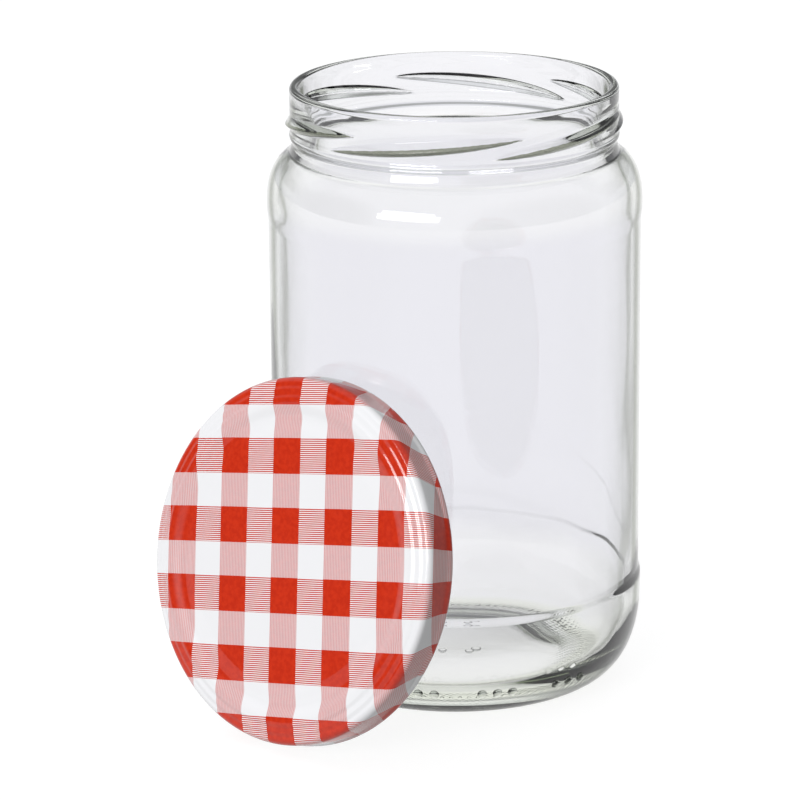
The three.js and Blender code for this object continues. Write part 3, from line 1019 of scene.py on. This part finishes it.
def seal_material(ripple):
    material, tree, shader = new_material("sealing_compound")
    uneven = place(tree, ripple, scale=500.0, stretch=1.0)
    feed(tree, shader.inputs["Normal"], bumped(tree, uneven.outputs["Height"], 0.15, 0.0002))
    feed(tree, shader.inputs["Base Color"], mixed(tree, uneven.outputs["Cloud"], *COMPOUND))
    feed(tree, shader.inputs["Roughness"], spread(tree, uneven.outputs["Cloud"], 0.2, 0.8, 0.5, 0.62))
    return material


# Pieces

def lid_placing():
    """The lid's frame: its rim on the table, its back on the jar, leaning by LID_LEAN."""
    s, c = math.sin(LID_LEAN), math.cos(LID_LEAN)
    curl = LID_RADIUS - CURL_RADIUS
    edge = LID_SKIRT_RADIUS - LID_EDGE_ROUND
    down = curl * c - CURL_RADIUS * s + CURL_RADIUS
    ahead = edge * s + (LID_PANEL_HEIGHT - LID_EDGE_ROUND) * c + LID_EDGE_ROUND
    middle = Vector(((lid_low.x + lid_high.x) / 2, lid_low.y + ahead * MM, lid_low.z + down * MM))
    return Matrix.Translation(middle) @ Matrix.Rotation(math.pi / 2 - LID_LEAN, 4, "X")


def make_pieces():
    turned = turned_group()
    ripple = ripple_group()
    skins = [(r, z, 0.0, 0.0) for r, z in jar_outside()]
    skins += [(r, z, 0.0, 1.0) for r, z in jar_inside()]
    upright = Matrix.Translation((JAR_X, JAR_Y, 0.0))
    glass = piece_from("glass_jar_body", jar_tree(turned, glass_material(ripple)), skins, upright)
    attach(glass, "root")
    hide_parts("glass_jar")

    outside = lid_outside()
    radii = blank_radii(outside)
    sheet = [(r, z, blank, 0.0) for (r, z), blank in zip(inset(outside, LID_SHEET), radii)]
    sheet += [(r, z, blank, 1.0) for (r, z), blank in zip(outside, radii)][::-1]
    leaning = lid_placing()
    lid = piece_from("gingham_lid", lid_tree(turned, lid_material(ripple)), sheet, leaning)
    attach(lid, "root")
    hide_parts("lid")

    ring = [(r, z, 0.0, 0.0) for r, z in seal_outline()]
    seal = piece_from("compound_seal", seal_tree(turned, seal_material(ripple)), ring, leaning)
    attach(seal, "root")
    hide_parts("lid_seal")


# Stage, light and camera

def make_floor():
    corners = [TURN * i / FLOOR_SIDES for i in range(FLOOR_SIDES)]
    ring = [(FLOOR_RADIUS * math.cos(a), FLOOR_RADIUS * math.sin(a), -FLOOR_DROP) for a in corners]
    mesh = bpy.data.meshes.new("floor")
    mesh.from_pydata(ring, [], [tuple(range(FLOOR_SIDES))])
    material, tree, shader = new_material("pale_floor")
    shader.inputs["Base Color"].default_value = FLOOR_GREY
    shader.inputs["Roughness"].default_value = 0.7
    shader.inputs["Specular IOR Level"].default_value = 0.1
    shader.inputs["Emission Color"].default_value = (1.0, 1.0, 1.0, 1.0)
    is_diffuse = add(tree, "ShaderNodeLightPath").outputs["Is Diffuse Ray"]
    glow = calc(tree, "MULTIPLY_ADD", is_diffuse, FLOOR_GLOW_ON_MATT - FLOOR_GLOW, FLOOR_GLOW)
    feed(tree, shader.inputs["Emission Strength"], glow)
    mesh.materials.append(material)
    floor = bpy.data.objects.new("floor", mesh)
    bpy.context.scene.collection.objects.link(floor)


def direction_of(azimuth, elevation):
    """Unit vector from the object; the azimuth runs from -Y towards +X, both in degrees."""
    a, e = math.radians(azimuth), math.radians(elevation)
    return Vector((math.sin(a) * math.cos(e), -math.cos(a) * math.cos(e), math.sin(e)))


def make_world():
    """A bright surround with soft dark cards, one of them seen by matt surfaces alone."""
    world = bpy.data.worlds.new("studio")
    bpy.context.scene.world = world
    world.use_nodes = True
    tree = world.node_tree
    direction = add(tree, "ShaderNodeTexCoord").outputs["Generated"]
    height = parts_of(tree, direction)[2]

    def card(azimuth, elevation, core, reach, depth):
        towards = add(tree, "ShaderNodeVectorMath", operation="DOT_PRODUCT")
        feed(tree, towards.inputs[0], direction)
        towards.inputs[1].default_value = direction_of(azimuth, elevation)
        low, high = math.cos(math.radians(reach)), math.cos(math.radians(core))
        return spread(tree, towards.outputs["Value"], low, high, 0.0, depth)

    shade = 0.0
    for values in DARK_CARDS:
        shade = calc(tree, "MAXIMUM", shade, card(*values))
    above = spread(tree, height, *BACK_BAND_RISE)
    below = spread(tree, height, *BACK_BAND_FADE, 1.0, 0.0)
    shade = calc(tree, "MAXIMUM", shade, times(tree, above, below, card(*BACK_CARD)))
    is_diffuse = add(tree, "ShaderNodeLightPath").outputs["Is Diffuse Ray"]
    shade = calc(tree, "MAXIMUM", shade, times(tree, is_diffuse, card(*FILL_CARD)))
    feed(tree, tree.nodes["Background"].inputs["Color"], mixed(tree, shade, WORLD_BRIGHT, WORLD_DARK))


def make_softbox(name, azimuth, elevation, size, power, roll):
    """A rectangular light aimed at the object's middle."""
    light = bpy.data.lights.new(name, "AREA")
    light.shape = "RECTANGLE"
    light.size, light.size_y = size
    light.energy = power
    away = direction_of(azimuth, elevation)
    lamp = bpy.data.objects.new(name, light)
    lamp.location = Vector((0.0, 0.0, SOFTBOX_AIM_Z * MM)) + away * SOFTBOX_DISTANCE
    lamp.rotation_mode = "QUATERNION"
    lamp.rotation_quaternion = away.to_track_quat("Z", "Y") @ Quaternion((0.0, 0.0, 1.0), math.radians(roll))
    bpy.context.scene.collection.objects.link(lamp)
    lamp.visible_camera = False
    return lamp


def make_lights():
    """The main softbox, and a strip that shines on the lid alone, as it would cross the jar's shoulder."""
    make_softbox("main_softbox", *MAIN_SOFTBOX)
    strip = make_softbox("lid_strip", *LID_STRIP)
    shine = bpy.data.collections.new("lid_shine")
    shine.objects.link(bpy.data.objects["gingham_lid"])
    strip.light_linking.receiver_collection = shine


def make_camera():
    a, p = CAMERA_AZIMUTH, CAMERA_PITCH
    forward = Vector((-math.sin(a) * math.cos(p), math.cos(a) * math.cos(p), -math.sin(p)))
    right = Vector((math.cos(a), math.sin(a), 0.0))
    up = right.cross(forward)
    across = right * math.cos(CAMERA_ROLL) + up * math.sin(CAMERA_ROLL)
    upward = up * math.cos(CAMERA_ROLL) - right * math.sin(CAMERA_ROLL)
    target = Vector((JAR_X, JAR_Y, TARGET_Z * MM)) + right * TARGET_RIGHT * MM
    turn = Matrix((across, upward, -forward)).transposed().to_4x4()
    lens = bpy.data.cameras.new("camera")
    lens.sensor_width = SENSOR
    lens.lens = FOCAL_PX / PHOTO_WIDTH * SENSOR
    camera = bpy.data.objects.new("camera", lens)
    camera.matrix_world = Matrix.Translation(target - forward * CAMERA_DISTANCE * MM) @ turn
    bpy.context.scene.collection.objects.link(camera)
    bpy.context.scene.camera = camera


make_camera()
make_pieces()
make_floor()
make_world()
make_lights()
bpy.context.scene.view_settings.view_transform = "Standard"
